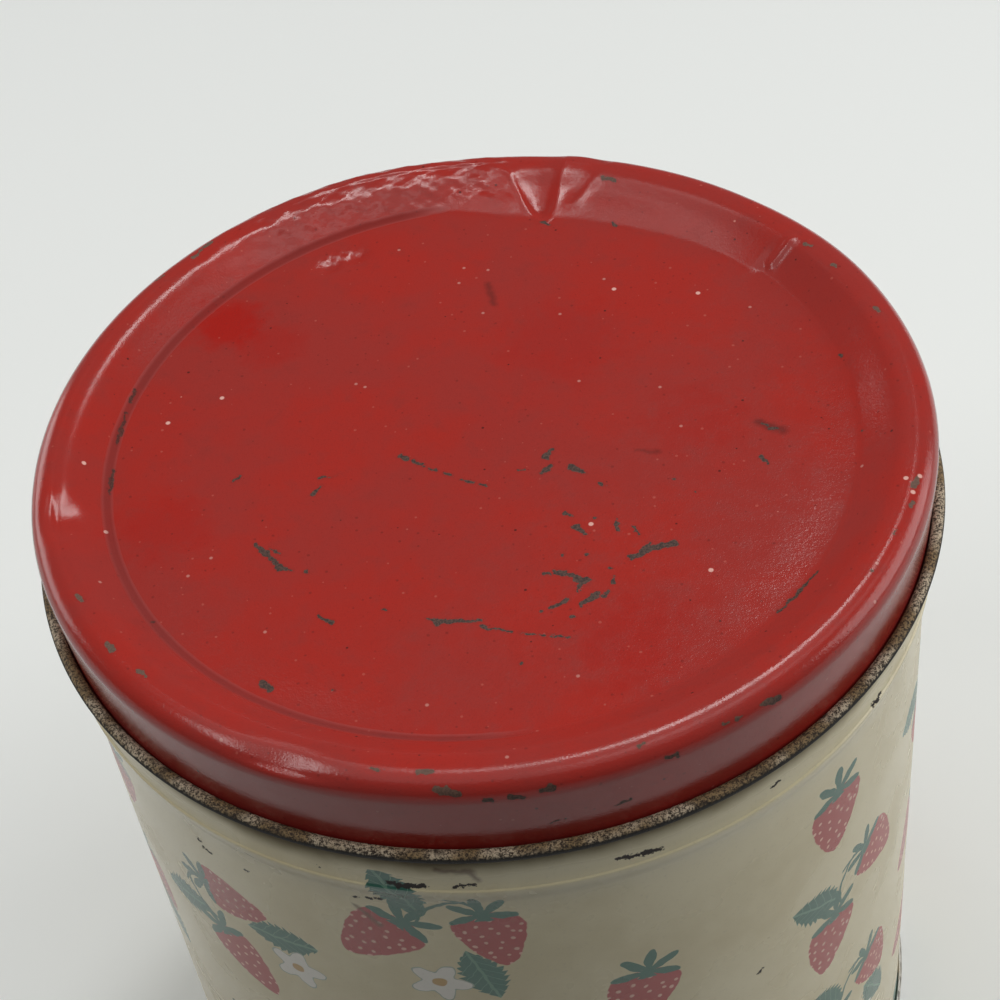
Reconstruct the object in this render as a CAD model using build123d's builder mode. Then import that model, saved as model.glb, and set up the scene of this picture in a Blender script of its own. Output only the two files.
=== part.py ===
from build123d import *
import os
from math import acos, asin, atan2, copysign, cos, degrees, hypot, radians, sin, tan

# Round tinplate canister with a press-in lid. Three pieces, each folded or pressed from one sheet.
# Z is up, the tin stands on Z = 0 round the Z axis, and its side seam is at the back, on +Y.

# Sheet and clearances, in millimetres
sheet = 0.25  # thickness of the tinplate
fold_gap = 0.10  # between the layers of a closed seam
lid_clearance = 0.20  # round the lid's skirt in the neck

# Body
body_radius = 81.0  # outside of the wall
body_height = 162.0  # from the ground to the top of the curled rim
neck_depth = 11.6  # from the top of the rim down to the ledge under the lid
ledge_lip = 0.25  # ledge left showing inside the lid's skirt
ledge_bend = 0.10  # inside radius where the neck turns into the ledge
wall_bend = 0.05  # inside radius where the ledge turns into the wall
curl_radius = 1.15  # outside of the curled rim's section
curl_turn = 290.0  # degrees that the rim is rolled through

# Side seam
seam_width = 5.0  # from fold to fold
seam_bend = 0.15  # inside radius where the wall dips under the seam's outer fold
seam_end = 2.0  # plain wall left above and below the side seam

# Base and double seam
base_recess = 4.0  # from the ground up to the underside of the panel's edge
base_bend = 1.0  # inside radius where the panel turns down
foot_bend = 0.60  # outside radius of the edge that the tin stands on
foot_height = 3.2  # height of the double seam
stiffener_inset = 21.0  # from the wall in to where the panel steps up
stiffener_rise = 0.80
stiffener_bend = 1.5
stiffener_slope = 30.0  # degrees

# Lid
lid_height = 27.6  # from the skirt's edge to the crown
shoulder_overhang = 0.75  # how far the shoulder stands out beyond the skirt
crown_bend = 4.2  # outside radius of the rounded crown and shoulder
undercut_bend = 1.0  # radius under the shoulder
ring_width = 13.7  # from the shoulder in to the corner where the sloping ring meets the panel
panel_sink = 5.2  # from the crown down to the panel
panel_bend = 2.5  # radius at the panel's edge

# Folds that hold one layer of sheet, with a gap on each side of it
fold_inside = sheet / 2 + fold_gap
fold_outside = fold_inside + sheet

# The neck, and the lid that fits in it
neck_step = lid_clearance + sheet + ledge_lip
neck_inside = body_radius - sheet + neck_step
ledge_height = body_height - neck_depth
skirt_radius = neck_inside - lid_clearance
shoulder_radius = skirt_radius + shoulder_overhang
panel_radius = shoulder_radius - ring_width
crown_height = ledge_height + lid_height

# The double seam, from the inside out: base, body, base's hook, body's hook, base
seam_radius = body_radius + 3 * (sheet + fold_gap)
chuck_radius = body_radius - 2 * sheet - fold_gap
body_fold_height = sheet + fold_gap + fold_outside
base_fold_height = foot_height - fold_outside


def sheet_section(start, heading, moves):
    """Draw a strip of sheet that follows moves along one face and has its thickness to the left.

    A move is (length, 0) for a straight run, or (radius, turn) for a bend, with left turns positive.
    """
    corners = []
    forward = Vector(cos(radians(heading)), sin(radians(heading)))
    left = Vector(-forward.Y, forward.X)
    for depth in (0, sheet):
        point = Vector(*start) + left * depth
        direction = forward
        corners.append(point)
        for size, turn in moves:
            if turn:
                edge = JernArc(point, direction, size - copysign(depth, turn), turn)
            else:
                edge = PolarLine(point, size, direction=direction)
            point = edge @ 1
            direction = edge % 1
        corners.append(point)
    Line(corners[0], corners[2])
    Line(corners[1], corners[3])


# Lid: from the skirt's edge up over the crown and down to the middle of the panel
crown_centre_radius = shoulder_radius - crown_bend
crown_centre_height = crown_height - crown_bend
undercut_turn = degrees(acos(1 - shoulder_overhang / (crown_bend + undercut_bend)))
undercut_drop = (crown_bend + undercut_bend) * sin(radians(undercut_turn))
panel_height = crown_height - panel_sink
slope_reach = hypot(crown_centre_radius - panel_radius, crown_centre_height - panel_height)
slope_turn = degrees(
    atan2(crown_centre_height - panel_height, crown_centre_radius - panel_radius)
    + asin(crown_bend / slope_reach)
)
panel_bend_reach = panel_bend * tan(radians(slope_turn / 2))
slope_length = (slope_reach**2 - crown_bend**2) ** 0.5 - panel_bend_reach

with BuildPart() as lid:
    with BuildSketch(Plane.XZ):
        with BuildLine():
            sheet_section(
                (skirt_radius, ledge_height),
                90,
                [
                    (crown_centre_height - undercut_drop - ledge_height, 0),
                    (undercut_bend, -undercut_turn),
                    (crown_bend, undercut_turn + 90 + slope_turn),
                    (slope_length, 0),
                    (panel_bend, -slope_turn),
                    (panel_radius - panel_bend_reach, 0),
                ],
            )
        make_face()
    revolve(axis=Axis.Z)

# Side seam: the sheet's two edges hooked into each other and pressed flat on the inside of the wall
under_hook_radius = body_radius - 2 * sheet - fold_gap
under_layer_radius = under_hook_radius - 2 * fold_inside
over_hook_radius = body_radius - 2 * fold_outside
hook_sweep = degrees((seam_width - 2 * fold_outside) / body_radius)
over_fold_angle = 90 + hook_sweep / 2
wrap_bend = fold_outside + fold_gap
dip_bend = seam_bend + sheet
wrap_centre_radius = under_layer_radius + wrap_bend
dip_centre_radius = body_radius - dip_bend
dip_reach = wrap_bend + dip_bend
dip_sweep = degrees(
    acos(
        (wrap_centre_radius**2 + dip_centre_radius**2 - dip_reach**2)
        / (2 * wrap_centre_radius * dip_centre_radius)
    )
)
wrap_turn = 90 + degrees(
    asin((dip_centre_radius * cos(radians(dip_sweep)) - wrap_centre_radius) / dip_reach)
)
ring_sweep = 360 - dip_sweep

seam_bottom = base_recess + sheet + seam_end
seam_top = ledge_height - sheet - wall_bend - seam_end

with BuildPart() as body:
    # Hook at the bottom, which the base folds round
    with BuildSketch(Plane.XZ):
        with BuildLine():
            sheet_section(
                (body_radius + 2 * fold_inside, base_fold_height),
                -90,
                [
                    (base_fold_height - body_fold_height, 0),
                    (fold_inside, -180),
                    (seam_bottom - body_fold_height, 0),
                ],
            )
        make_face()
    revolve(axis=Axis.Z)
    # Ledge, neck and curled rim
    with BuildSketch(Plane.XZ):
        with BuildLine():
            sheet_section(
                (body_radius, seam_top),
                90,
                [
                    (seam_end, 0),
                    (wall_bend, -90),
                    (neck_step - wall_bend - ledge_bend - sheet, 0),
                    (ledge_bend + sheet, 90),
                    (neck_depth - ledge_bend - curl_radius, 0),
                    (curl_radius - sheet, -curl_turn),
                ],
            )
        make_face()
    revolve(axis=Axis.Z)
    # Wall with its side seam
    with BuildSketch(Plane.XY.offset(seam_bottom)):
        with BuildLine():
            sheet_section(
                (
                    under_hook_radius * cos(radians(over_fold_angle)),
                    under_hook_radius * sin(radians(over_fold_angle)),
                ),
                over_fold_angle - 90,
                [
                    (under_hook_radius, -hook_sweep),
                    (fold_inside, -180),
                    (under_layer_radius, hook_sweep),
                    (wrap_bend, -wrap_turn),
                    (dip_bend, wrap_turn + dip_sweep),
                    (body_radius, ring_sweep / 2),
                    (body_radius, ring_sweep / 2),
                    (fold_outside, 180),
                    (over_hook_radius, -hook_sweep),
                ],
            )
        make_face()
    extrude(amount=seam_top - seam_bottom)

# Base: from the middle of the panel out, down to the ground, and up round the body's hook
stiffener_radius = body_radius - stiffener_inset
stiffener_reach = stiffener_bend * tan(radians(stiffener_slope / 2))
stiffener_run = stiffener_rise / tan(radians(stiffener_slope))
stiffener_length = stiffener_rise / sin(radians(stiffener_slope)) - stiffener_reach
stiffener_length -= (stiffener_bend + sheet) * tan(radians(stiffener_slope / 2))

with BuildPart() as base:
    with BuildSketch(Plane.XZ):
        with BuildLine():
            sheet_section(
                (0, base_recess + stiffener_rise),
                0,
                [
                    (stiffener_radius - stiffener_reach, 0),
                    (stiffener_bend, -stiffener_slope),
                    (stiffener_length, 0),
                    (stiffener_bend + sheet, stiffener_slope),
                    (
                        chuck_radius
                        - base_bend
                        - stiffener_radius
                        - stiffener_run
                        - (stiffener_bend + sheet) * tan(radians(stiffener_slope / 2)),
                        0,
                    ),
                    (base_bend, -90),
                    (base_recess - base_bend - foot_bend, 0),
                    (foot_bend, 90),
                    (seam_radius - chuck_radius - 2 * foot_bend, 0),
                    (foot_bend, 90),
                    (base_fold_height - foot_bend, 0),
                    (fold_outside, 180),
                    (base_fold_height - body_fold_height, 0),
                ],
            )
        make_face()
    revolve(axis=Axis.Z)

os.makedirs("parts", exist_ok=True)
for name, piece in (("lid", lid), ("body", body), ("base", base)):
    piece.part.label = name
    export_step(piece.part, f"parts/{name}.step")
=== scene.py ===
import math
from functools import partialmethod

import bpy
import numpy as np
from mathutils import Matrix, Vector
from mathutils.bvhtree import BVHTree


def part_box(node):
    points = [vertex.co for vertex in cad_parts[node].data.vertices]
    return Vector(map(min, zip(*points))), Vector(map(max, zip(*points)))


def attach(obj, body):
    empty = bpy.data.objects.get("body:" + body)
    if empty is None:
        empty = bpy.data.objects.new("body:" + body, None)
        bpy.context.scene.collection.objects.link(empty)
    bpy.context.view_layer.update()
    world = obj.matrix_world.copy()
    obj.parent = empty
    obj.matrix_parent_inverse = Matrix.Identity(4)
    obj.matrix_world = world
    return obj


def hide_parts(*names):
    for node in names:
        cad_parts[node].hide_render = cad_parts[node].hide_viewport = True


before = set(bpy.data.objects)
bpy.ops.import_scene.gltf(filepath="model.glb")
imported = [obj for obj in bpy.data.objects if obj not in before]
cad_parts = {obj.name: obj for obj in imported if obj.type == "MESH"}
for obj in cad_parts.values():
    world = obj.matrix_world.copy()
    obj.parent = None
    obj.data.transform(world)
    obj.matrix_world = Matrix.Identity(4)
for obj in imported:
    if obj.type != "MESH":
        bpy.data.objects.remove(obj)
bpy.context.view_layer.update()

# The tin canister's looks: a worn red lid, and a cream body with a berry print and a rusty rim.
# Lengths are in millimetres, and become metres where a mesh, lamp or camera is made.
MM = 0.001

# Sizes read from the frame
lid_low, lid_high = (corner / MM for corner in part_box("lid"))
_, body_high = (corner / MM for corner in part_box("body"))
shoulder_radius = lid_high.x
crown_height = lid_high.z
skirt_edge = lid_low.z
rim_height = body_high.z

# Sizes of the sheet metal, as in the solids
sheet = 0.25  # thickness of the tinplate
crown_bend = 4.2  # outside radius of the rounded crown
shoulder_overhang = 0.75
ring_width = 13.7
panel_sink = 5.2
panel_bend = 2.5
body_radius = 81.0  # outside of the wall
neck_step = 0.7  # how far the neck is opened out
curl_radius = 1.15  # outside of the curled rim's section
curl_turn = 290  # degrees
fold_inside = 0.225  # inside radius of the hook at the bottom
body_fold_height = 0.825  # height at which the hook's bend starts
base_fold_height = 2.725  # height of the hook's edge
seam_bottom = 6.3  # ends of the side seam
seam_top = 148.1

# The photo's camera: its place, the way it looks and its focal length in pixels
photo_size = 1000
focal_pixels = 2084.4
camera_place = Vector((0, -273.95, 436.23))
camera_pitch = math.radians(45.621)
camera_yaw = math.radians(0.437)
camera_roll = math.radians(-8.163)


def camera_axes():
    """The camera's right, up and forward directions."""
    sin_yaw, cos_yaw = math.sin(camera_yaw), math.cos(camera_yaw)
    sin_pitch, cos_pitch = math.sin(camera_pitch), math.cos(camera_pitch)
    forward = Vector((sin_yaw * cos_pitch, cos_yaw * cos_pitch, -sin_pitch))
    level = Vector((cos_yaw, -sin_yaw, 0))
    upright = level.cross(forward)
    turn = Matrix.Rotation(-camera_roll, 3, forward)
    return turn @ level, turn @ upright, forward


def ease(low, high, value):
    """0 below low, 1 above high and a smooth step between them."""
    share = np.clip((value - low) / (high - low), 0, 1)
    return share * share * (3 - 2 * share)


def window(rise, fall, value):
    """0, then up to 1 over the first pair of values, and down to 0 again over the second."""
    return ease(*rise, value) * (1 - ease(*fall, value))


def bump(centre, width, value):
    """A smooth bump of height 1 and about that half width."""
    return np.exp(-(((value - centre) / width) ** 2))


# Meshes: bent sheets turned round the Z axis

sharp_edge = math.radians(50)  # between two faces


def left_of(angle):
    return np.array((-math.sin(angle), math.cos(angle)))


def follow(start, heading, moves):
    """Points along one face of a bent sheet, and the way to its other face, which is on the left.

    A move is (length, 0, spacing) for a straight run or (radius, turn, spacing) for a bend.
    """
    point = np.array(start, float)
    angle = math.radians(heading)
    points = [point]
    lefts = [left_of(angle)]
    for size, turn, spacing in moves:
        sweep = math.radians(turn)
        length = size * abs(sweep) if turn else size
        steps = max(1, math.ceil(length / spacing))
        radius = math.copysign(size, turn)
        for step in range(1, steps + 1):
            share = step / steps
            new_angle = angle + sweep * share
            if turn:
                place = point + radius * (left_of(angle) - left_of(new_angle))
            else:
                place = point - size * share * left_of(angle + math.pi / 2)
            points.append(place)
            lefts.append(left_of(new_angle))
        point = place
        angle += sweep
    return np.array(points), np.array(lefts)


def turned(radii, heights, angles):
    """Rows of points round the Z axis."""
    radii = np.broadcast_to(radii, (len(radii), len(angles)))
    heights = np.broadcast_to(heights, radii.shape)
    return np.stack([radii * np.cos(angles), radii * np.sin(angles), heights], axis=2)


def shell(name, right, left, right_slots, left_slots, materials, poles=()):
    """A closed sheet between two grids of points. Poles close both grids at their last row."""
    rows, columns = right.shape[:2]
    points = np.concatenate([right.reshape(-1, 3), left.reshape(-1, 3)])
    here = np.arange(columns)
    following = (here + 1) % columns
    faces = []
    slots = []

    def band(first, second, slot):
        quads = np.stack([first + here, first + following, second + following, second + here], axis=1)
        faces.extend(quads.tolist())
        slots.extend([slot] * columns)

    def fan(first, second, pole, slot):
        triangles = np.stack([first, second, np.full(columns, pole)], axis=1)
        faces.extend(triangles.tolist())
        slots.extend([slot] * columns)

    back = rows * columns
    for row in range(rows - 1):
        band(row * columns, (row + 1) * columns, right_slots[row])
        band(back + (row + 1) * columns, back + row * columns, left_slots[row])
    band(back, 0, right_slots[0])
    last = (rows - 1) * columns
    if len(poles):
        points = np.concatenate([points, poles])
        fan(last + here, last + following, 2 * back, right_slots[-1])
        fan(back + last + following, back + last + here, 2 * back + 1, left_slots[-1])
    else:
        band(last, back + last, left_slots[-1])
    mesh = bpy.data.meshes.new(name)
    mesh.from_pydata((points * MM).tolist(), [], faces)
    for material in materials:
        mesh.materials.append(material)
    mesh.polygons.foreach_set("material_index", slots)
    mesh.shade_smooth()
    mesh.set_sharp_from_angle(angle=sharp_edge)
    made = bpy.data.objects.new(name, mesh)
    bpy.context.scene.collection.objects.link(made)
    return made


# Lid

crown_centre = np.array((shoulder_radius - crown_bend, crown_height - crown_bend))
panel_corner = np.array((shoulder_radius - ring_width, crown_height - panel_sink))
skirt_radius = shoulder_radius - shoulder_overhang
flare_turn = 3.4  # the skirt flares a little up to the shoulder
flare_bend = 20.0
crown_foot = np.array((75.0, crown_height - 0.15))  # where the ring's slope meets the crown

# Wear on the lid. Angles are in degrees from +X towards +Y, and a pair is where a form fades in or out
corner_moves = ((0.35, 30, 32.5), (0.65, 32, 60), (-1.0, 78, 92))  # share, from angle, to angle
corner_shift = 3.9  # how far in the panel's corner has moved at the back
squash_angles = ((77, 85), (98, 122))
squash_shift = 1.2  # how far in the crown's foot has moved beside the dent
squash_drop = 0.9  # and down
sag_angles = ((20, 44), (84, 106))
ripple_angles = ((74, 84), (104, 150))
ripple_radii = ((67, 72), (79, 82))
dent_angle = 70.6
dent_tip = 63.0  # radius at which the dent starts
crease_end = (73, 76)  # radii over which its creases fade out
fold_angle = 29.7
fold_radii = ((68.8, 70.4), (75.4, 77.3))
fold_tail = (28.2, 76.6)  # angle and radius
pitted_place = (110.8, 63.0)
pitted_size = (4.6, 2.8)  # round the lid and outward
fine_angles = ((58, 86, 0.3), (24, 36, 0.3), (86, 120, 0.5))  # closer columns: from, to, spacing

# Dings: angle, radius, depth, and half their size round the lid and outward
lid_dings = (
    (-173.0, 75.8, 1.70, 5.0, 3.4),
    (-118.5, 80.0, 0.75, 7.0, 2.4),
    (113.5, 61.4, 0.90, 3.0, 2.0),
    (108.6, 60.6, 0.76, 2.6, 1.8),
    (134.0, 62.0, 0.25, 9.0, 5.0),
)


def ring_height(radius, degrees):
    """Height of the sunk panel and of the ring round it, up to the crown, as the years have left them.

    At the back the panel's corner has moved in, and beside the dent the crown is squashed flat.
    """
    moved = sum(share * ease(start, end, degrees) for share, start, end in corner_moves)
    squashed = window(*squash_angles, degrees)
    corner = panel_corner[0] - corner_shift * moved
    foot = crown_foot[0] - squash_shift * squashed
    rise = crown_foot[1] - panel_corner[1] - squash_drop * squashed
    slope = panel_corner[1] + (radius - corner) * rise / (foot - corner)
    inward = crown_centre[0] - radius
    crown = crown_height - (0.2 + 0.16 * inward) * squashed - (0.028 - 0.012 * squashed) * inward**2
    rounding = 0.24 + 0.2 * window((108, 132), (190, 215), degrees)
    top = (slope + crown) / 2 - np.hypot((slope - crown) / 2, rounding)
    gap = top - panel_corner[1]
    softness = 0.6 - 0.3 * ease(88, 100, degrees)
    softness = softness * (1 - 0.8 * ease(corner + 1, corner + 4, radius))
    return panel_corner[1] + (gap + np.hypot(gap, softness)) / 2


def back_sag(radius, height, degrees):
    """How far the crown hangs down at the back, but for a peak over the dent."""
    peak_angle = 68.6
    sag = 0.9 * window(*sag_angles, degrees) - 0.45 * bump(peak_angle, 2.6, degrees)
    return sag * ease(171, 176.5, height) * ease(62, 74, radius)


def uneven_ring(radius, degrees):
    """The crown isn't level, and the ring ripples towards the back."""
    angle = np.radians(degrees)
    waves = 0.05 * np.sin(3 * angle + 0.7) + 0.04 * np.sin(7 * angle + 2) - 0.09
    ripples = 0.06 * np.sin(degrees * 1.1 + radius * 0.9) + 0.05 * np.sin(degrees * 0.6 - radius * 1.7)
    ripples = ripples + 0.035 * np.sin(degrees * 2.1 - radius * 2.3)
    ripples = ripples + 0.03 * np.sin(degrees * 2.9 + radius * 1.3) * np.sin(degrees * 0.9 - radius * 2.6)
    return window(*ripple_radii, radius) * (waves + window(*ripple_angles, degrees) * (ripples - 0.04))


def buckled_panel(radius, degrees):
    """Slight waves in the sunk panel."""
    x = radius * np.cos(np.radians(degrees))
    y = radius * np.sin(np.radians(degrees))
    waves = 0.16 * np.sin(x / 17 + 0.6) * np.cos(y / 21 - 0.4) + 0.07 * np.sin(x / 9 - y / 12)
    return waves * (1 - ease(60, 68, radius))


def back_dent(radius, degrees):
    """Two dents in the back of the ring that meet in a ridge, with creases round their edges."""
    along = np.radians(degrees - dent_angle) * radius
    out = radius - dent_tip
    left_width = 4.0 + 0.62 * np.clip(out, 0, None)
    right_width = 1.4 + 0.51 * np.clip(out, 0, None)
    left_share = np.clip(along / left_width, 0, 1)
    right_share = np.clip(-along / right_width, 0, 1)
    left_reach = out - 2.0 * (2 * left_share - 1) ** 2
    right_reach = out - 2.5
    upper = 1 - ease(78.5, 82, radius)
    depth = np.clip(1.1 - 0.075 * (out - 3), 0.3, 1.1)
    pushed = -depth * ease(0, 4, left_reach) * 4 * left_share * (1 - left_share) * upper
    pushed = pushed - 0.45 * ease(0, 6, right_reach) * 4 * right_share * (1 - right_share) * upper

    # Creases: left edge, lower edge, ridge and right edge
    ended = 1 - ease(*crease_end, radius)
    in_left = ease(-0.3, 0.9, along) * (1 - ease(-0.9, 0.3, along - left_width))
    pushed = pushed + 0.14 * bump(0, 0.7, along - left_width) * ease(0.5, 2.5, out) * ended
    pushed = pushed + 0.16 * bump(-0.3, 0.7, left_reach) * in_left
    pushed = pushed + 0.10 * bump(0, 1.7, along) * ease(0, 3, out) * (1 - ease(77, 80, radius))
    return pushed + 0.14 * bump(0, 1.3, along + right_width) * ease(2, 5, out) * ended


def ring_fold(radius, degrees):
    """A short sharp fold across the ring, to the right of the back."""
    tail_angle, tail_radius = fold_tail
    along = np.radians(degrees - fold_angle) * radius
    pushed = window(*fold_radii, radius) * (0.38 * bump(0.3, 1.0, along) - 0.12 * bump(-2.0, 1.6, along))
    tail = np.radians(degrees - tail_angle) * radius
    return pushed + 0.15 * bump(0, 1.6, tail) * bump(tail_radius, 0.7, radius)


def dings(radius, degrees):
    """Small dings: at the left, at the front left and beside the panel's edge at the back."""
    pushed = 0
    for angle, place, depth, width, height in lid_dings:
        along = np.radians((degrees - angle + 180) % 360 - 180) * place
        pushed = pushed - depth * bump(0, width, along) * bump(place, height, radius)
    return pushed


def pitted_patch(radius, degrees):
    """Fine pits round the two dings beside the panel's edge at the back."""
    angle, place = pitted_place
    width, height = pitted_size
    along = np.radians(degrees - angle) * place
    out = radius - place
    pits = 0.14 * np.sin(2.4 * along + 0.5) * np.sin(2.7 * out + 0.4)
    pits = pits + 0.06 * np.sin(1.7 * along - 3.0 * out) * np.sin(0.9 * along + 2.2)
    return pits * bump(0, width, along) * bump(0, height, out)


def lid_dents(radius, degrees):
    """How far the lid's metal is pushed out, in millimetres, at a radius and an angle."""
    pushed = uneven_ring(radius, degrees) + buckled_panel(radius, degrees)
    pushed = pushed + back_dent(radius, degrees) + ring_fold(radius, degrees)
    pushed = pushed + dings(radius, degrees) + pitted_patch(radius, degrees)
    return pushed * (1 - ease(81.0, 81.9, radius))


def lid_columns():
    """Angles of the lid's columns, closer together round the creases."""
    plain = np.arange(0, 360, 1.0)
    outside = [a for a in plain if not any(start <= a < end for start, end, _ in fine_angles)]
    fine = [np.arange(start, end, spacing) for start, end, spacing in fine_angles]
    return np.unique(np.round(np.concatenate([outside, *fine]), 3))


def lid_profile():
    """The lid's section from the skirt's edge to near the middle of the panel, before wear."""
    flare = math.radians(flare_turn)
    flare_length = (shoulder_overhang - (crown_bend + flare_bend) * (1 - math.cos(flare))) / math.sin(flare)
    flare_drop = (crown_bend + flare_bend) * math.sin(flare) + flare_length * math.cos(flare)
    away, drop = crown_centre - panel_corner
    reach = math.hypot(away, drop)
    slope_turn = math.degrees(math.atan2(drop, away) + math.asin(crown_bend / reach))
    bend_reach = panel_bend * math.tan(math.radians(slope_turn / 2))
    slope_length = math.sqrt(reach**2 - crown_bend**2) - bend_reach
    pole_gap = 1.0
    near_ring = 9.0
    runs = [
        (crown_centre[1] - flare_drop - skirt_edge, 0, 2.0),
        (flare_bend, -flare_turn, 0.4),
        (flare_length, 0, 1.0),
        (crown_bend, flare_turn + 90 + slope_turn, 0.3),
        (slope_length, 0, 0.3),
        (panel_bend, -slope_turn, 0.3),
        (near_ring, 0, 0.45),
        (panel_corner[0] - bend_reach - near_ring - pole_gap, 0, 1.6),
    ]
    return follow((skirt_radius, skirt_edge), 90, runs)


def make_lid(paint, inside):
    """The lid as one worn sheet, painted outside."""
    points, lefts = lid_profile()
    degrees = lid_columns()
    angles = np.radians(degrees)
    radii, heights = points[:, :1], points[:, 1:]
    shoulder = ease(crown_centre[1] - 3.8, crown_centre[1] + 0.7, heights)
    pushed = lid_dents(radii, degrees) * np.where(radii < crown_centre[0], 1, shoulder)
    inside_crown = window((55, 60), (crown_centre[0] - 0.6, crown_centre[0]), radii)
    lifted = heights + inside_crown * (ring_height(radii, degrees) - heights)
    lifted = lifted - back_sag(radii, lifted, degrees)
    outer = turned(radii - pushed * lefts[:, :1], lifted - pushed * lefts[:, 1:], angles)
    thick = sheet - pushed
    inner = turned(radii + thick * lefts[:, :1], lifted + thick * lefts[:, 1:], angles)
    poles = [outer[-1].mean(axis=0), inner[-1].mean(axis=0)]
    bands = len(points)
    return shell("lid_sheet", outer, inner, [0] * bands, [1] * bands, [paint, inside], poles)


# Body

# The side seam on +Y. Offsets run along the wall from the seam's middle
seam_columns = (-4, -3, -2.8, -2.6, -2.4, -1.2, 0, 1.2, 1.9, 2.1, 2.3, 2.5, 2.7, 2.9, 3.1, 3.4, 4.2)
seam_reach = 3.2  # degrees to each side that have those columns
seam_fade = 2.0  # height over which the seam fades at its ends
groove_offset = 2.5
groove_half = 0.55
groove_depth = 0.45
layer_edges = ((-2.8, -2.4), (2.6, 3.3))
layer_depth = 1.05

# The step up to the neck, the soft ridge at it and slight waves in the wall
step_turn = 40  # degrees
step_above = 0.6  # from the lid's edge up to the step's top
ridge_span = (144, 152)
ridge_changes = ((1.20, 144.2, 149.7), (-0.32, 149.85, 150.2), (-0.2, 150.2, 151.8))  # radius, from, to
wave_depth = 0.06
wave_heights = ((4, 30), (110, 140))


def body_columns():
    """Angles of the body's columns, closer together at the side seam on +Y."""
    plain = [a for a in np.arange(0, 360, 1.0) if abs(a - 90) > seam_reach]
    return np.sort(np.concatenate([plain, 90 + np.degrees(np.array(seam_columns) / body_radius)]))


def body_profile():
    """The body's section from the bottom hook to the curled rim, and the number of rows in the curl."""
    step_bend = neck_step / (2 * (1 - math.cos(math.radians(step_turn))))
    step_rise = 2 * step_bend * math.sin(math.radians(step_turn))
    step_top = skirt_edge + step_above
    step_bottom = step_top - step_rise
    near_seam_end = 3.0
    runs = [
        (base_fold_height - body_fold_height, 0, 2.0),
        (fold_inside, -180, 0.1),
        (seam_bottom - body_fold_height, 0, 2.0),
        (near_seam_end, 0, 0.6),
        (seam_top - seam_bottom - 2 * near_seam_end, 0, 4.0),
        (near_seam_end, 0, 0.3),
        (step_bottom - seam_top, 0, 0.2),
        (step_bend, -step_turn, 0.1),
        (step_bend, step_turn, 0.1),
        (rim_height - curl_radius - step_top, 0, 1.5),
        (curl_radius - sheet, -curl_turn, 0.12),
    ]
    start = (body_radius + 2 * fold_inside, base_fold_height)
    points, lefts = follow(start, -90, runs)
    curl_rows = len(points) - len(follow(start, -90, runs[:-1])[0])
    return points, lefts, curl_rows


def make_body(print_paint, inside, bare_rim):
    """The body as one sheet: printed outside, bare inside, with a bare curled rim."""
    points, lefts, curl_rows = body_profile()
    degrees = body_columns()
    angles = np.radians(degrees)
    along = (degrees - 90) * math.pi / 180 * body_radius
    radii, heights = points[:, :1], points[:, 1:]

    # The side seam: a groove outside, and layers of sheet that stand out inside
    seam_ends = ((seam_bottom, seam_bottom + seam_fade), (seam_top - seam_fade, seam_top))
    seam = window(*seam_ends, heights)
    groove = groove_depth * np.clip(1 - np.abs(along - groove_offset) / groove_half, 0, 1) * seam
    layers = layer_depth * window(*layer_edges, along) * seam

    wavy = wave_depth * np.sin(2 * angles + 0.5) * window(*wave_heights, heights)
    ridge = sum((change * ease(low, high, heights) for change, low, high in ridge_changes), body_radius)
    near_ridge = (heights > ridge_span[0]) & (heights < ridge_span[1])
    swell = np.where(near_ridge, np.clip(ridge - radii, 0, None), 0)
    outer = turned(radii - groove + wavy + swell, heights, angles)
    inner = turned(radii + sheet * lefts[:, :1] - layers + wavy, heights + sheet * lefts[:, 1:], angles)
    plain_rows = len(points) - 1 - curl_rows
    outer_slots = [0] * plain_rows + [2] * (curl_rows + 1)
    inner_slots = [1] * plain_rows + [2] * (curl_rows + 1)
    return shell("body_sheet", outer, inner, outer_slots, inner_slots, [print_paint, inside, bare_rim])


# Places given in the photo


def photo_ray(pixel):
    """Direction from the camera through a point of the photo."""
    right, up, forward = camera_axes()
    middle = photo_size / 2
    way = forward + right * (pixel[0] - middle) / focal_pixels + up * (middle - pixel[1]) / focal_pixels
    return way.normalized()


def surface_finder(piece):
    """A function that gives the point of a piece behind a point of the photo, and a pixel's size there."""
    mesh = piece.data
    points = [vertex.co / MM for vertex in mesh.vertices]
    tree = BVHTree.FromPolygons(points, [face.vertices[:] for face in mesh.polygons])

    def find(pixel):
        place, _, _, distance = tree.ray_cast(camera_place, photo_ray(pixel))
        if place is None:
            raise ValueError(f"no surface behind {pixel}")
        return place, distance / focal_pixels

    return find


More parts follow.
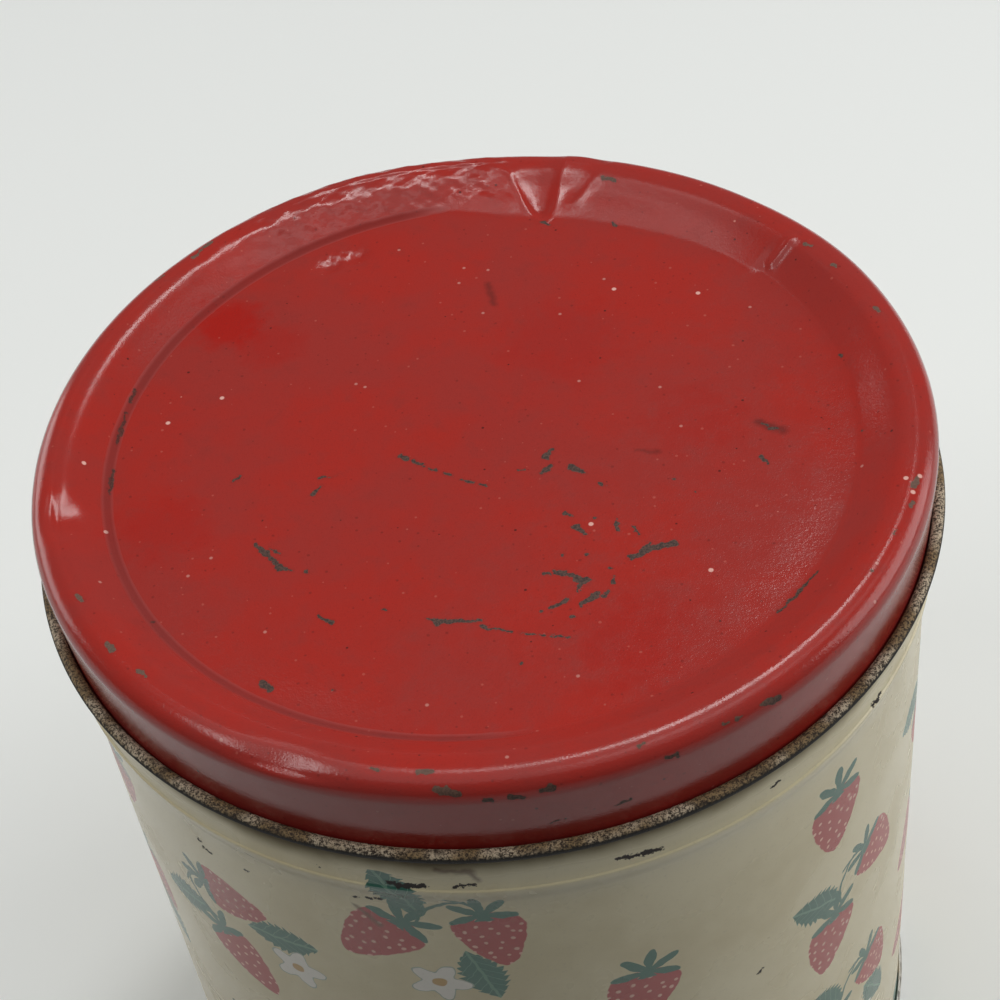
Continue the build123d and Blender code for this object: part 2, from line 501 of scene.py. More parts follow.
# Chips in the lid's paint, in the photo's pixels: both ends of a stroke, and half its width at each
lid_chips = (
    (400, 456, 406, 459, 2.0, 3.0), (412, 460, 419, 464, 1.0, 2.0), (419, 464, 425, 466, 2.0, 0.8),
    (429, 468, 436, 471, 0.6, 1.2), (446, 474, 453, 476, 1.2, 0.7), (460, 479, 473, 483, 0.7, 1.1),
    (480, 484, 487, 486, 1.1, 0.6), (545, 457, 551, 450, 3.0, 2.2), (541, 474, 551, 466, 1.6, 2.4),
    (519, 470, 524, 469, 1.2, 0.8), (570, 466, 584, 473, 3.4, 1.6), (600, 483, 607, 486, 1.5, 0.8),
    (565, 513, 572, 516, 1.8, 0.9), (575, 527, 586, 534, 3.0, 1.8), (616, 519, 618, 530, 0.9, 2.0),
    (634, 527, 639, 535, 2.0, 1.0), (631, 557, 648, 550, 3.2, 3.6), (648, 550, 674, 543, 3.6, 4.4),
    (647, 549, 649, 542, 3.0, 1.4), (556, 572, 564, 573, 3.2, 4.0), (564, 573, 576, 577, 2.0, 2.0),
    (576, 578, 585, 581, 4.2, 5.0), (585, 581, 592, 580, 3.0, 1.0), (582, 583, 577, 591, 3.0, 1.2),
    (543, 574, 549, 574, 0.8, 1.3), (551, 608, 567, 600, 1.0, 2.4), (581, 604, 597, 595, 2.4, 4.0),
    (597, 596, 604, 596, 1.6, 1.2), (606, 593, 610, 591, 2.4, 1.6), (613, 583, 614, 576, 1.6, 0.8),
    (427, 618, 439, 622, 1.0, 3.8), (439, 622, 456, 621, 3.8, 2.2), (456, 621, 481, 621, 2.2, 1.4),
    (481, 627, 511, 632, 1.8, 0.7), (520, 633, 569, 637, 0.7, 0.5), (254, 544, 266, 553, 1.0, 3.6),
    (266, 553, 273, 560, 3.6, 2.4), (273, 560, 281, 568, 2.6, 4.0), (281, 568, 292, 571, 3.0, 0.6),
    (270, 548, 278, 553, 0.6, 1.2), (318, 616, 332, 623, 0.8, 2.6), (313, 494, 316, 491, 2.6, 1.6),
    (316, 491, 321, 486, 1.4, 0.8), (318, 478, 326, 477, 1.0, 1.0), (329, 477, 336, 475, 1.1, 0.6),
    (232, 482, 240, 477, 1.0, 2.0), (762, 424, 767, 425, 1.0, 1.8), (770, 428, 777, 429, 1.8, 1.0),
    (762, 457, 768, 464, 2.4, 1.0), (261, 683, 270, 689, 3.2, 3.6), (135, 391, 130, 402, 0.6, 1.2),
    (126, 413, 121, 431, 0.8, 2.2), (121, 431, 117, 445, 2.2, 0.6), (112, 470, 111, 483, 1.0, 2.2),
    (111, 483, 110, 494, 2.2, 0.8), (818, 571, 800, 591, 0.8, 1.6), (800, 591, 778, 613, 1.6, 0.6),
    (543, 222, 549, 225, 1.8, 1.0), (612, 223, 617, 226, 1.8, 1.0), (200, 250, 210, 243, 1.2, 2.8),
    (193, 258, 199, 252, 1.6, 0.8), (156, 281, 163, 276, 1.6, 1.0), (77, 596, 82, 600, 2.4, 1.6),
    (107, 644, 113, 650, 2.0, 2.8), (138, 670, 146, 677, 2.8, 1.4), (372, 769, 378, 771, 2.0, 1.4),
    (420, 772, 432, 772, 3.2, 2.0), (436, 789, 447, 792, 3.0, 4.8), (447, 792, 459, 794, 4.8, 2.6),
    (486, 800, 493, 801, 2.8, 2.2), (511, 797, 523, 797, 3.4, 2.6), (541, 791, 553, 788, 2.4, 3.8),
    (615, 806, 630, 799, 1.0, 1.6), (550, 823, 566, 818, 0.9, 1.1), (638, 746, 645, 744, 2.2, 1.2),
    (667, 758, 677, 755, 2.0, 3.0), (723, 724, 729, 722, 2.2, 1.4), (736, 719, 741, 717, 1.6, 1.0),
    (764, 704, 778, 699, 3.0, 4.2), (804, 243, 811, 246, 1.8, 1.2), (832, 264, 837, 267, 1.8, 1.2),
    (875, 308, 879, 312, 1.8, 1.2), (894, 534, 896, 529, 1.6, 1.0), (911, 506, 913, 501, 1.6, 1.0),
    (914, 486, 918, 477, 3.4, 2.0), (603, 178, 613, 180, 2.0, 2.8),
)

# Smudges on the lid's paint, as the chips
lid_smudges = (
    (488, 284, 494, 304, 3.0, 3.4), (636, 450, 657, 452, 1.6, 3.0), (758, 422, 782, 430, 5.0, 6.0),
)

# Small dark dots and pale specks on the lid, as points of the photo
lid_dots = (
    (595, 518), (587, 554), (562, 555), (610, 568), (307, 572), (385, 610), (541, 612), (572, 617),
    (674, 479), (696, 492), (841, 356), (862, 430), (872, 572), (153, 622), (333, 690), (521, 664),
)
lid_specks = (
    (222, 398), (168, 423), (84, 463), (106, 532), (614, 289), (711, 570), (591, 524), (906, 478), (920, 476),
    (913, 492), (698, 293),
)
lid_faint_specks = (
    (211, 558), (188, 576), (100, 582), (221, 740), (265, 632), (356, 384), (365, 387), (399, 250),
    (459, 283), (464, 268), (488, 270), (483, 313), (560, 314), (579, 381), (604, 279), (750, 307),
    (660, 387), (681, 426), (578, 676), (507, 757), (427, 705), (877, 563), (875, 602), (862, 466),
)

# Patches of the lid where the red has kept more of its colour: a point of the photo, radius and strength
lid_fresh_patches = (
    ((228, 325), 10.0, 0.9),
    ((270, 345), 9.0, 0.4),
    ((160, 530), 12.0, 0.4),
    ((640, 640), 14.0, 0.4),
    ((560, 340), 16.0, 0.3),
    ((700, 420), 12.0, 0.3),
)

# Chips and stains in the body's print, as the lid's chips
body_chips = (
    (387, 883, 404, 886, 2.0, 3.8), (404, 886, 424, 886, 4.6, 2.4), (452, 888, 474, 884, 0.8, 2.2),
    (618, 859, 636, 855, 2.4, 3.6), (638, 855, 660, 849, 3.6, 1.8), (872, 705, 880, 694, 2.8, 1.2),
    (198, 839, 202, 842, 1.4, 0.8), (204, 848, 211, 853, 1.8, 1.0), (246, 870, 248, 871, 1.8, 1.0),
    (318, 866, 320, 867, 1.2, 0.8), (354, 896, 382, 900, 0.6, 1.2), (773, 786, 780, 781, 2.0, 0.8),
    (760, 972, 763, 967, 1.8, 1.0),
)
body_stains = (
    (436, 870, 470, 872, 3.0, 4.4), (470, 872, 478, 880, 3.4, 1.6), (355, 905, 380, 925, 1.6, 2.4),
)


class Graph:
    """Short ways to add nodes to one shader tree, g for short. A value is a socket or a constant."""

    def __init__(self, tree):
        self.tree = tree

    def add(self, kind, inputs, **settings):
        made = self.tree.nodes.new("ShaderNode" + kind)
        for name, value in settings.items():
            setattr(made, name, value)
        for name, value in inputs.items():
            self.feed(made.inputs[name], value)
        return made

    def feed(self, socket, value):
        """Link a socket to a value, or set it."""
        if isinstance(value, bpy.types.NodeSocket):
            self.tree.links.new(value, socket)
        else:
            socket.default_value = value

    def math(self, operation, *values, clamp=False):
        made = self.add("Math", dict(enumerate(values)), operation=operation, use_clamp=clamp)
        return made.outputs[0]

    minus = partialmethod(math, "SUBTRACT")
    times = partialmethod(math, "MULTIPLY")
    scaled = partialmethod(math, "MULTIPLY_ADD")  # value, factor and what is added
    most = partialmethod(math, "MAXIMUM")
    size = partialmethod(math, "ABSOLUTE")

    def vector(self, operation, *values):
        made = self.add("VectorMath", dict(enumerate(values)), operation=operation)
        number = operation in ("LENGTH", "DISTANCE", "DOT_PRODUCT")
        return made.outputs["Value" if number else "Vector"]

    def point(self):
        """The place on the piece, in millimetres."""
        place = self.add("TexCoord", {}).outputs["Object"]
        return self.vector("MULTIPLY", place, (1 / MM, 1 / MM, 1 / MM))

    def split(self, vector):
        return tuple(self.add("SeparateXYZ", {0: vector}).outputs)

    def join(self, x, y, z=0.0):
        return self.add("CombineXYZ", {0: x, 1: y, 2: z}).outputs[0]

    def spin(self, vector, angle):
        """A vector turned about Z."""
        return self.add("VectorRotate", {"Vector": vector, "Angle": angle}, rotation_type="Z_AXIS").outputs[0]

    def noise(self, point, size, detail=2.0, roughness=0.5):
        """Cloudy noise from 0 to 1 with features of about that size."""
        inputs = {"Vector": point, "Scale": 1 / size, "Detail": detail, "Roughness": roughness}
        return self.add("TexNoise", inputs).outputs[0]

    def warp(self, point, size, amount):
        """The point moved about by up to half the amount."""
        inputs = {"Vector": point, "Scale": 1 / size, "Detail": 1.0}
        shift = self.add("TexNoise", inputs).outputs[1]
        shift = self.vector("SUBTRACT", shift, (0.5, 0.5, 0.5))
        return self.vector("MULTIPLY_ADD", shift, (amount, amount, amount), point)

    def ramp(self, value, low, high, start=0.0, end=1.0):
        """A smooth change from start to end as the value goes from low to high."""
        inputs = {"Value": value, "From Min": low, "From Max": high, "To Min": start, "To Max": end}
        return self.add("MapRange", inputs, interpolation_type="SMOOTHSTEP").outputs[0]

    def mix(self, share, first, second):
        return self.add("Mix", {0: share, 6: first, 7: second}, data_type="RGBA").outputs[2]

    def blend(self, share, first, second):
        return self.add("Mix", {0: share, 2: first, 3: second}, data_type="FLOAT").outputs[0]

    def bump(self, height, strength, depth):
        """A normal bent by a height from 0 to 1 that stands for that depth."""
        inputs = {"Strength": strength, "Distance": depth * MM, "Height": height}
        return self.add("Bump", inputs).outputs[0]


def rgb(red, green, blue):
    """A colour given as sRGB values from 0 to 255."""
    shares = (value / 255 for value in (red, green, blue))
    linear = [s / 12.92 if s <= 0.04045 else ((s + 0.055) / 1.055) ** 2.4 for s in shares]
    return (*linear, 1.0)


def new_material(name):
    """A material with its graph and the shader to fill in."""
    material = bpy.data.materials.new(name)
    material.use_nodes = True
    return material, Graph(material.node_tree), material.node_tree.nodes["Principled BSDF"]


def wire(g, shader, **values):
    """Link or set the shader's sockets."""
    for name, value in values.items():
        g.feed(shader.inputs[name.replace("_", " ").title().replace("Ior", "IOR")], value)


# Marks that a material can show

far_away = 100.0  # with no mark found yet


def stroke_distance(g, point, strokes, find):
    """Distance in millimetres to the nearest of some strokes given in the photo, less its half width."""
    nearest = far_away
    for x1, y1, x2, y2, half1, half2 in strokes:
        start, pixel = find((x1, y1))
        end, _ = find((x2, y2))
        span = end - start
        offset = g.vector("SUBTRACT", point, start)
        share = g.vector("DOT_PRODUCT", offset, span / span.length_squared)
        share = g.add("Clamp", {"Value": share}).outputs[0]
        half = g.scaled(share, (half2 - half1) * pixel, half1 * pixel)
        reach = g.add("VectorMath", {0: -span, 3: share}, operation="SCALE").outputs[0]
        away = g.vector("LENGTH", g.vector("ADD", offset, reach))
        nearest = g.math("MINIMUM", g.minus(away, half), nearest)
    return nearest


def dot_distance(g, point, dots, find):
    """Distance in millimetres to the nearest of some points of the photo."""
    nearest = far_away
    for dot in dots:
        distance = g.vector("DISTANCE", point, find(dot)[0])
        nearest = g.math("MINIMUM", distance, nearest)
    return nearest


def freckles(g, point, spacing, share):
    """Tiny dots, one in each of that share of the cells of a random grid."""
    least, more = 0.10 / spacing, 0.22 / spacing  # radius of a dot in cells, and what chance adds
    inputs = {"Vector": point, "Scale": 1 / spacing, "Randomness": 1.0}
    cells = g.add("TexVoronoi", inputs).outputs
    chance, size, _ = g.split(cells["Color"])
    radius = g.scaled(size, more, least)
    dots = g.ramp(g.minus(cells["Distance"], radius), 0.04 / spacing, -0.08 / spacing)
    return g.times(dots, g.math("LESS_THAN", chance, share))


# Red enamel on the lid

red_faded = rgb(154, 49, 43)
red_deep = rgb(164, 44, 36)
red_dull = rgb(132, 48, 43)
red_fresh = rgb(164, 29, 21)
red_grain = rgb(104, 36, 33)
red_scuffed = rgb(112, 46, 40)
red_smudged = rgb(84, 38, 34)
# darkens the panel's corner: grime and painted shade
red_grime_and_shade = rgb(96, 34, 32)
chip_dark = rgb(52, 36, 30)
chip_brown = rgb(86, 62, 52)
chip_worn = rgb(134, 102, 84)  # on the crown
speck_faint = rgb(206, 150, 138)
speck_pale = rgb(220, 168, 156)
dot_radius = 0.28
chip_edge = 0.05  # half the width over which a chip's edge fades
red_gloss = 0.32

# Freckles: spacing, share of the cells that have one, strength and colour
lid_freckles = (
    (1.5, 0.30, 0.5, rgb(112, 36, 32)),
    (1.9, 0.22, 0.5, rgb(184, 92, 80)),
    (3.4, 0.28, 1.0, rgb(96, 34, 30)),
    (7.0, 0.16, 1.0, rgb(196, 120, 108)),
)


def lid_chip_distance(g, point, ragged, find):
    """Distance to the nearest chip or dark dot, with ragged edges."""
    broken = g.noise(point, size=1.1, detail=3.0, roughness=0.6)
    broken = g.scaled(broken, 1.3, -0.70)
    chips = stroke_distance(g, ragged, lid_chips, find)
    dots = g.minus(dot_distance(g, ragged, lid_dots, find), dot_radius)
    return g.math("ADD", g.math("MINIMUM", chips, dots), broken)


def enamel_colour(g, point, cloud, mottle, grain, find):
    """The red of the paint: faded in clouds, fresher in patches, grainy and freckled."""
    colour = g.mix(g.ramp(cloud, 0.36, 0.66), red_faded, red_deep)
    colour = g.mix(g.ramp(mottle, 0.48, 0.78, 0, 0.3), colour, red_dull)
    for pixel, radius, strength in lid_fresh_patches:
        away = g.vector("DISTANCE", point, find(pixel)[0])
        away = g.scaled(g.minus(mottle, 0.5), radius, away)
        colour = g.mix(g.ramp(away, radius, 0.3 * radius, 0, strength), colour, red_fresh)
    colour = g.mix(g.ramp(grain, 0.5, 0.85, 0, 0.25), colour, red_grain)
    for spacing, share, strength, shade in lid_freckles:
        dotted = g.times(freckles(g, point, spacing, share), strength)
        colour = g.mix(dotted, colour, shade)
    return colour


def chip_metal(g, grain, height):
    """The dark metal in the chips, paler up on the crown."""
    metal = g.mix(g.ramp(grain, 0.35, 0.65), chip_dark, chip_brown)
    worn = g.ramp(height, panel_corner[1] + 2, crown_height - 1, 0, 0.35)
    return g.mix(worn, metal, chip_worn)


def red_paint(g, shader, find):
    """Worn red enamel: mottled fading, chips down to dark metal, pale specks and a grainy gloss."""
    point = g.point()
    cloud = g.noise(point, size=24, detail=4.0, roughness=0.6)
    mottle = g.noise(point, size=4.0, detail=3.0, roughness=0.6)
    grain = g.noise(point, size=0.36)
    ragged = g.warp(point, size=1.6, amount=1.0)

    chips = lid_chip_distance(g, point, ragged, find)
    chipped = g.ramp(chips, chip_edge, -chip_edge)
    specks = dot_distance(g, point, lid_specks, find)
    faint_specks = dot_distance(g, point, lid_faint_specks, find)

    colour = enamel_colour(g, point, cloud, mottle, grain, find)
    colour = g.mix(g.ramp(chips, 0.5, 0.0, 0, 0.25), colour, red_scuffed)
    x, y, height = g.split(point)
    smudged = g.ramp(stroke_distance(g, ragged, lid_smudges, find), 0.7, -0.9, 0, 0.6)
    colour = g.mix(smudged, colour, red_smudged)
    colour = g.mix(chipped, colour, chip_metal(g, grain, height))
    colour = g.mix(g.ramp(faint_specks, 0.42, 0.2, 0, 0.5), colour, speck_faint)
    colour = g.mix(g.ramp(specks, 0.56, 0.30), colour, speck_pale)

    # Grime and painted shade in the panel's corner, on the left
    from_axis = g.vector("LENGTH", g.join(x, y))
    corner = g.size(g.minus(from_axis, panel_corner[0] + 0.2))
    grime_and_shade = g.times(g.ramp(corner, 1.3, 0.3), g.ramp(x, 4.0, -10.0))
    colour = g.mix(g.times(grime_and_shade, 0.5), colour, red_grime_and_shade)

    rough = g.ramp(mottle, 0.3, 0.7, 0.14, 0.21)
    rough = g.blend(grime_and_shade, g.blend(chipped, rough, 0.6), 1.0)
    peel = g.blend(0.55, grain, g.noise(point, size=1.1))
    wire(g, shader, base_color=colour, roughness=rough, specular_ior_level=red_gloss)
    wire(g, shader, normal=g.bump(peel, strength=0.9, depth=0.06))


# Bare metal

tin_bright = rgb(196, 193, 186)
tin_stained = rgb(150, 140, 124)
tin_spots = rgb(104, 76, 52)
rust_pale = rgb(204, 188, 162)
rust_tan = rgb(148, 124, 87)
rust_dark = rgb(54, 41, 29)
rust_worn = rgb(44, 33, 24)
# dark rust and painted shade on the curl's lower part
rim_black_rust_and_shade = rgb(22, 17, 13)


def tin_plate(g, shader):
    """Dull bare tinplate with faint stains."""
    point = g.point()
    stain = g.noise(point, size=18, detail=5.0, roughness=0.65)
    fine = g.noise(point, size=0.8, detail=3.0)
    colour = g.mix(g.ramp(stain, 0.35, 0.75), tin_bright, tin_stained)
    spots = g.ramp(g.noise(point, size=2.2, detail=4.0, roughness=0.7), 0.66, 0.74)
    colour = g.mix(spots, colour, tin_spots)
    rough = g.ramp(stain, 0.3, 0.7, 0.32, 0.5)
    normal = g.bump(fine, strength=0.2, depth=0.03)
    wire(g, shader, base_color=colour, metallic=0.9, roughness=rough, normal=normal)


def rusty_rim(g, shader):
    """Bare curled edge: pale and tan grains of rust over dark metal, black on its outer half, which is dark
    rust and painted shade.
    """
    point = g.point()
    coarse = g.noise(point, size=0.6, detail=3.0, roughness=0.65)
    fine = g.noise(point, size=0.26, roughness=0.6)
    patch = g.noise(point, size=9.0)
    grains = g.blend(0.45, coarse, fine)
    light = g.mix(g.ramp(patch, 0.42, 0.58), rust_pale, rust_tan)
    colour = g.mix(g.ramp(grains, 0.42, 0.58), rust_dark, light)
    worn = g.ramp(g.noise(point, size=5.0, detail=3.0, roughness=0.6), 0.60, 0.70, 0, 0.55)
    colour = g.mix(worn, colour, rust_worn)
    _, _, height = g.split(point)
    level = g.scaled(coarse, 0.9, height)
    # the curl's lower part turns black: dark rust and painted shade
    under = g.ramp(level, rim_height + 0.15, rim_height - 0.35)
    colour = g.mix(under, colour, rim_black_rust_and_shade)
    normal = g.bump(grains, strength=1.0, depth=0.30)
    wire(g, shader, base_color=colour, metallic=0.1, roughness=0.8, normal=normal)


# The body's print: sprigs of berries scattered in a half drop

print_columns = 12
print_row = 40.0  # height of a cell
print_shift = 6.0
print_top = 141.0  # no sprig has its middle above this
print_turn = 1.1  # radians, either way
leaf_green = rgb(50, 104, 88)
leaf_light = rgb(108, 149, 127)
berry_red = rgb(178, 61, 59)
seed_pale = rgb(238, 194, 176)
petal_white = rgb(242, 237, 226)
petal_edge = rgb(168, 179, 164)
blossom_gold = rgb(196, 157, 90)

# A sprig, from the middle of its cell: each piece's centre and the degrees that it is turned
sprig_stalks = (((-7, -4), 62, 8.0, 20.0, 2.2), ((3, 11), -25, -5.0, 8.0, 2.0))  # also start, end and bow
upper_leaf = ((-9, 11), 140)
lower_leaf = ((12, -7), -50)
blossom_place = ((6, -13), 0)
first_berry = ((-8, -5), -20, 1.2)  # also its scale
second_berry = ((10, 5), 35, 1.1)

# Sizes of the drawn pieces
berry_length = 15.0
berry_half = 7.6
berry_top = 6.2  # where its leaf crown sits
crown_reach = (1.3, 4.4)  # least, and what a lobe adds
leaf_length = 8.0  # from its middle to its tip
leaf_half = 4.6
leaf_teeth = 1.3  # how deep they are
stalk_half = 0.38
petal_reach = (4.4, 1.3)  # mean, and what a petal adds or takes away
petal_line = 0.3
blossom_eye = 1.3


def turned_point(g, point, centre, degrees, size=1.0):
    """The point as seen from a centre, turned and scaled."""
    away = g.vector("SUBTRACT", point, (*centre, 0))
    away = g.spin(away, math.radians(-degrees))
    return g.vector("MULTIPLY", away, (1 / size, 1 / size, 1))


def inside(g, distance, edge=0.12):
    """1 inside an outline and 0 outside it."""
    return g.ramp(distance, edge, -edge)


def berry(g, point):
    """Outline of a berry with its tip down, its seeds, and its leaf crown."""
    across, along, _ = g.split(point)
    share = g.scaled(along, 1 / berry_length, 0.55, clamp=True)
    taper = g.math("POWER", share, 0.58)
    shoulder = g.minus(1.0, g.math("POWER", share, 6.0))
    half = g.times(g.times(taper, g.math("SQRT", shoulder)), berry_half)
    outline = g.minus(g.size(across), half)
    beyond = g.size(g.math("ADD", along, 0.05 * berry_length))
    beyond = g.minus(beyond, 0.5 * berry_length)
    outline = g.most(outline, beyond)

    inputs = {"Vector": point, "Scale": 0.46, "Randomness": 0.55}
    seeds = g.add("TexVoronoi", inputs, voronoi_dimensions="2D")
    seeds = g.ramp(seeds.outputs["Distance"], 0.20, 0.12)

    from_top = g.vector("SUBTRACT", point, (0, berry_top, 0))
    left, up, _ = g.split(from_top)
    turn = g.math("ARCTAN2", left, up)
    lobes = g.size(g.math("COSINE", g.times(turn, 3.5)))
    least, more = crown_reach
    reach = g.scaled(g.math("POWER", lobes, 1.4), more, least)
    crown = g.minus(g.vector("LENGTH", from_top), reach)
    crown = g.most(crown, g.minus(-1.6, up))
    return outline, seeds, crown


def leaf(g, point):
    """Outline of a toothed leaf along X, and its veins."""
    along, across, _ = g.split(point)
    across = g.size(across)
    share = g.times(along, 1 / leaf_length)
    bow = g.minus(1.0, g.times(share, share))
    teeth = g.math("FRACT", g.times(along, 0.62))
    half = g.times(bow, g.scaled(teeth, -leaf_teeth, leaf_half))
    outline = g.minus(across, half)
    rib = g.ramp(across, 0.35, 0.2)
    slant = g.math("FRACT", g.times(g.minus(along, across), 0.42))
    veins = g.ramp(slant, 0.12, 0.04)
    return outline, g.most(rib, veins)


def stem(g, point, start, end, sag):
    """Distance to a thin stalk that bows between two points along X."""
    along, across, _ = g.split(point)
    middle = (start + end) / 2
    share = g.scaled(along, 2 / (end - start), -2 * middle / (end - start))
    line = g.scaled(g.times(share, share), -sag, sag)
    off = g.size(g.minus(across, line))
    beyond = g.minus(g.size(share), 1.0)
    off = g.minus(off, stalk_half)
    return g.most(off, g.times(beyond, 4.0))


def blossom(g, point):
    """Outline of a five-petalled flower, and its middle."""
    left, up, _ = g.split(point)
    turn = g.math("ARCTAN2", left, up)
    away = g.vector("LENGTH", point)
    mean, petal = petal_reach
    reach = g.scaled(g.math("COSINE", g.times(turn, 5.0)), petal, mean)
    return g.minus(away, reach), g.minus(away, blossom_eye)


def print_cell(g, point):
    """The point within its cell, and whether the sprig there is kept, has two berries or flowers."""
    x, y, z = g.split(point)
    turn = g.math("ARCTAN2", x, g.times(y, -1.0))
    across = g.times(turn, print_columns / math.tau)
    column = g.math("FLOOR", across)
    drop = g.scaled(column, 0.5, 0.5)
    rise = g.math("ADD", g.scaled(z, 1 / print_row, print_shift / print_row), drop)
    row = g.math("FLOOR", rise)
    cell = math.tau * body_radius / print_columns
    cell_x = g.scaled(g.math("FRACT", across), cell, -cell / 2)
    cell_y = g.scaled(g.math("FRACT", rise), print_row, -print_row / 2)
    middle = g.minus(z, cell_y)
    kept = g.math("LESS_THAN", middle, print_top)
    kind = g.math("FLOORED_MODULO", g.scaled(row, 2.0, column), 3.0)
    several = g.times(kept, g.math("GREATER_THAN", kind, 0.5))
    flowering = g.times(kept, g.math("GREATER_THAN", kind, 1.5))
    inputs = {"Vector": g.join(column, row)}
    chance = g.add("TexWhiteNoise", inputs, noise_dimensions="2D").outputs["Value"]
    tilt = g.scaled(chance, 2 * print_turn, -print_turn)
    flat = g.warp(g.join(cell_x, cell_y), size=2.5, amount=0.9)
    flat = g.vector("MULTIPLY", g.spin(flat, tilt), (1, 1, 0))
    return flat, kept, several, flowering


def berry_print(g, point, ground):
    """The ground colour with sprigs of one or two berries, some with a blossom."""
    flat, kept, several, flowering = print_cell(g, point)
    colour = ground

    def lay(mask, shade, when):
        return g.mix(g.times(mask, when), colour, shade)

    for centre, degrees, start, end, sag in sprig_stalks:
        stalk = stem(g, turned_point(g, flat, centre, degrees), start, end, sag)
        colour = lay(inside(g, stalk), leaf_green, several)
    for place, when in ((upper_leaf, several), (lower_leaf, flowering)):
        outline, veins = leaf(g, turned_point(g, flat, *place))
        colour = lay(inside(g, outline), g.mix(veins, leaf_green, leaf_light), when)
    petals, eye = blossom(g, turned_point(g, flat, *blossom_place))
    colour = lay(inside(g, g.minus(petals, petal_line)), petal_edge, flowering)
    colour = lay(inside(g, petals), petal_white, flowering)
    colour = lay(inside(g, eye), blossom_gold, flowering)
    for place, when in ((first_berry, kept), (second_berry, several)):
        outline, seeds, crown = berry(g, turned_point(g, flat, *place))
        colour = lay(inside(g, outline), g.mix(seeds, berry_red, seed_pale), when)
        colour = lay(inside(g, crown), leaf_green, when)
    return colour


# Cream enamel on the body

cream_pale = rgb(232, 220, 182)
cream_yellowed = rgb(218, 204, 164)
cream_grain = rgb(170, 159, 132)
stain_brown = rgb(98, 68, 36)
body_chip_dark = rgb(40, 32, 29)
scratch_brown = rgb(120, 104, 80)
# grime and the rim's painted shadow on the neck
neck_grime_and_shade = rgb(74, 58, 38)


def cream_print(g, shader, find):
    """Aged cream enamel with a berry print, yellowed, stained, scratched and chipped."""
    point = g.point()
    cloud = g.noise(point, size=30, detail=4.0, roughness=0.6)
    fine = g.noise(point, size=0.7)
    ground = g.mix(g.ramp(cloud, 0.35, 0.7), cream_pale, cream_yellowed)
    colour = berry_print(g, point, ground)
    colour = g.mix(g.ramp(fine, 0.55, 0.9, 0, 0.25), colour, cream_grain)

    ragged = g.warp(point, size=1.6, amount=1.0)
    stained = g.ramp(stroke_distance(g, ragged, body_stains, find), 0.7, -0.5, 0, 0.85)
    colour = g.mix(stained, colour, stain_brown)
    broken = g.noise(point, size=0.9, detail=4.0, roughness=0.7)
    broken = g.scaled(broken, 3.0, -1.55)
    chips = g.math("ADD", stroke_distance(g, ragged, body_chips, find), broken)
    chipped = g.ramp(chips, chip_edge, -chip_edge)
    colour = g.mix(chipped, colour, body_chip_dark)
    scratch_point = g.vector("MULTIPLY", g.warp(point, size=12, amount=8.0), (1, 1, 6))
    scratches = g.noise(scratch_point, size=2.4, detail=4.0, roughness=0.7)
    scratches = g.ramp(scratches, 0.73, 0.77, 0, 0.7)
    colour = g.mix(scratches, colour, scratch_brown)

    # Grime and painted shade below the rim, darker towards the rim
    _, _, height = g.split(point)
    level = g.scaled(cloud, 5.0, height)
    grime_and_shade = g.ramp(level, rim_height - 7.0, rim_height - 1.0, 0, 0.92)
    colour = g.mix(grime_and_shade, colour, neck_grime_and_shade)
    dull = g.most(chipped, grime_and_shade)
    rough = g.blend(dull, g.ramp(cloud, 0.3, 0.7, 0.22, 0.32), 0.8)
    gloss = g.blend(grime_and_shade, 0.55, 0.1)
    wire(g, shader, base_color=colour, roughness=rough, specular_ior_level=gloss)
    wire(g, shader, normal=g.bump(fine, strength=0.15, depth=0.03))


# The object

enamel, *enamel_parts = new_material("red_enamel")
printed, *printed_parts = new_material("cream_print")
tinplate, *tinplate_parts = new_material("bare_tinplate")
rust, *rust_parts = new_material("rusty_rim")
lid = make_lid(enamel, tinplate)
body = make_body(printed, tinplate, rust)
red_paint(*enamel_parts, surface_finder(lid))
cream_print(*printed_parts, surface_finder(body))
tin_plate(*tinplate_parts)
rusty_rim(*rust_parts)

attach(lid, "lid")
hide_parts("lid")
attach(body, "tin")
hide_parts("body")
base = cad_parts["base"]
base.data.materials.clear()
base.data.materials.append(tinplate)


# Floor, light and camera. Lengths are in metres here

floor_half = 4.0
floor_lit = rgb(90, 90, 88)
floor_seen = rgb(236, 238, 235)
sky_colour = (0.97, 0.99, 1.0, 1.0)
sky_strength = 0.11
sensor_width = 36.0  # in millimetres
clip_start = 0.01

# Lamps: name, the way to it from the lid, the way its length runs, distance, length, width and watts
lamps = (
    ("overhead", (0.0, -0.10, 1.0), (1, 0, 0), 1.6, 2.0, 2.0, 9.0),
    ("right_strip", (0.238, 0.396, 0.887), (0.44, 0.74, -0.50), 1.2, 0.54, 0.20, 3.8),
    ("high_strip", (0.02, 0.224, 0.974), (1, 0.1, 0), 1.2, 0.40, 0.20, 1.1),
    ("left_strip", (-0.225, 0.45, 0.864), (-0.38, 0.78, -0.49), 1.2, 0.22, 0.16, 0.2),
    ("left_high", (-0.62, -0.12, 0.775), (-0.20, -0.62, -0.256), 1.2, 0.50, 0.18, 2.1),
    ("front_strip", (0.35, -0.20, 0.915), (0.51, 0.33, -0.13), 1.2, 0.75, 0.20, 0.7),
    ("right_high", (0.65, 0.12, 0.74), (0.15, 0.33, -0.17), 1.2, 0.45, 0.20, 0.3),
    ("right", (0.95, 0.05, 0.27), (0, 1, 0), 1.4, 1.1, 0.8, 9.0),
    ("left", (-0.80, 0.58, 0.17), (0.58, 0.80, 0), 1.4, 1.0, 0.5, 4.4),
)


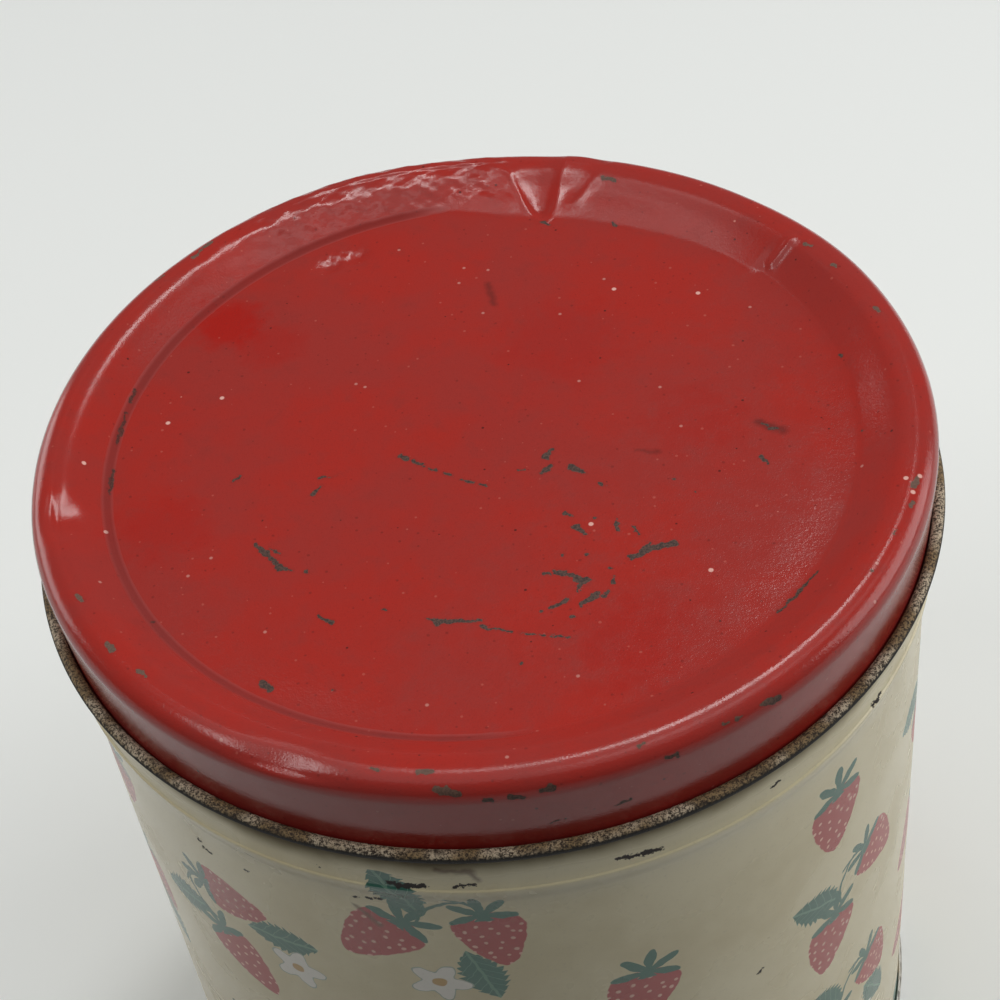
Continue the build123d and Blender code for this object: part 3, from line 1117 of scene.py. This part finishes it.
def floor_paint(g, shader):
    """Pale where it is seen, straight or in a reflection, and duller where it lights the tin."""
    path = g.add("LightPath", {}).outputs
    seen = g.most(path["Is Camera Ray"], path["Is Glossy Ray"])
    seen = g.most(seen, path["Is Transmission Ray"])
    colour = g.mix(seen, floor_lit, floor_seen)
    wire(g, shader, base_color=colour, roughness=0.9)


def make_floor():
    """A plain square floor."""
    mesh = bpy.data.meshes.new("floor")
    corners = [(x * floor_half, y * floor_half, 0) for x, y in ((-1, -1), (1, -1), (1, 1), (-1, 1))]
    mesh.from_pydata(corners, [], [(0, 1, 2, 3)])
    paint, *paint_parts = new_material("pale_floor")
    floor_paint(*paint_parts)
    mesh.materials.append(paint)
    floor = bpy.data.objects.new("floor", mesh)
    bpy.context.scene.collection.objects.link(floor)


def add_lamp(name, place, target, along, length, width, power):
    """A soft oblong lamp that faces a point, its length along a direction."""
    lamp = bpy.data.lights.new(name, "AREA")
    lamp.shape = "RECTANGLE"
    lamp.size = length
    lamp.size_y = width
    lamp.energy = power
    made = bpy.data.objects.new(name, lamp)
    back = (place - target).normalized()
    across = back.cross(Vector(along)).normalized()
    turn = Matrix((across.cross(back), across, back)).transposed()
    made.matrix_world = Matrix.Translation(place) @ turn.to_4x4()
    bpy.context.scene.collection.objects.link(made)


def light_scene():
    """A dim even sky, and soft lamps round the lid."""
    world = bpy.data.worlds.new("studio")
    bpy.context.scene.world = world
    world.use_nodes = True
    sky = world.node_tree.nodes["Background"]
    sky.inputs["Color"].default_value = sky_colour
    sky.inputs["Strength"].default_value = sky_strength
    lid_middle = Vector((0, 0, crown_height * MM))
    for name, direction, along, distance, length, width, power in lamps:
        place = lid_middle + Vector(direction).normalized() * distance
        add_lamp(name, place, lid_middle, along, length, width, power)


def add_camera():
    """The photo's camera."""
    right, up, forward = camera_axes()
    data = bpy.data.cameras.new("camera")
    data.sensor_width = sensor_width
    data.lens = focal_pixels * sensor_width / photo_size
    data.clip_start = clip_start
    camera = bpy.data.objects.new("camera", data)
    turn = Matrix((right, up, -forward)).transposed()
    camera.matrix_world = Matrix.Translation(camera_place * MM) @ turn.to_4x4()
    bpy.context.scene.collection.objects.link(camera)
    bpy.context.scene.camera = camera


make_floor()
light_scene()
add_camera()
bpy.context.scene.view_settings.view_transform = "Standard"
